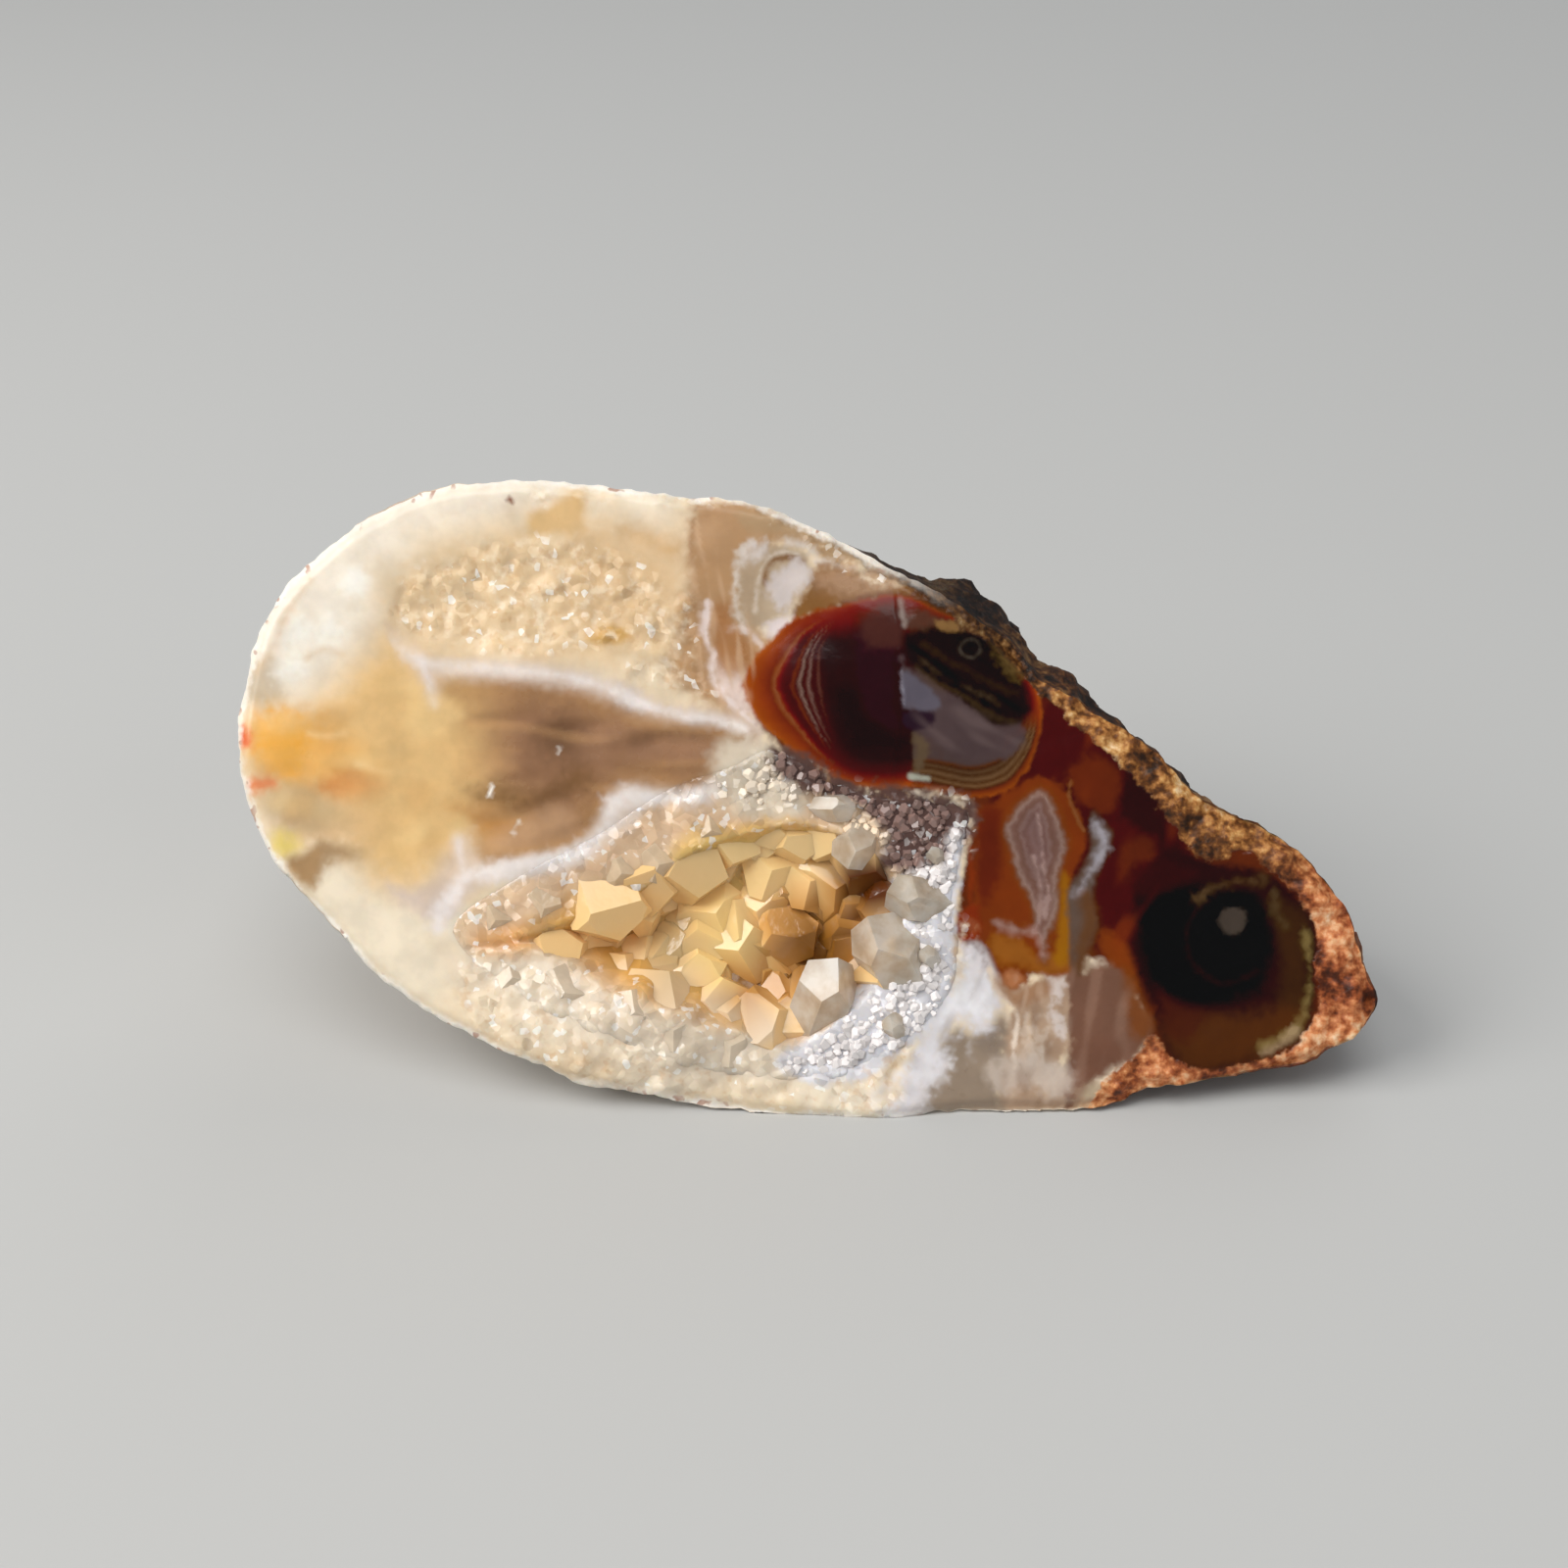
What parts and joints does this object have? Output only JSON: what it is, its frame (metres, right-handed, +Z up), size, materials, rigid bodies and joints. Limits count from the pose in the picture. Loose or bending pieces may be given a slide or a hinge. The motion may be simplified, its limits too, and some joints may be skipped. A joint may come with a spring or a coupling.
{
  "type": "agate geode",
  "caption": "Broken agate nodule resting on its rough underside, its leaning face open on a hollow lined with pointed quartz crystals.",
  "frame": {"origin": "middle of the bounding box, on the surface that the stone rests on", "axes": "+X along the nodule's length, towards its narrow right lobe; +Z up; the broken face looks towards -Y and leans back by 33 degrees"},
  "size_m": [0.0526, 0.025, 0.0241],
  "materials": {
    "chalcedony": "glossy broken chalcedony, cream and honey with carnelian and dark brown eyes, rough golden brown rind",
    "quartz": "clear to honey-coloured quartz with flat bright faces"
  },
  "bodies": {
    "root": {"agate_nodule": "chalcedony", "quartz_crust": "quartz"}
  },
  "joints": []
}
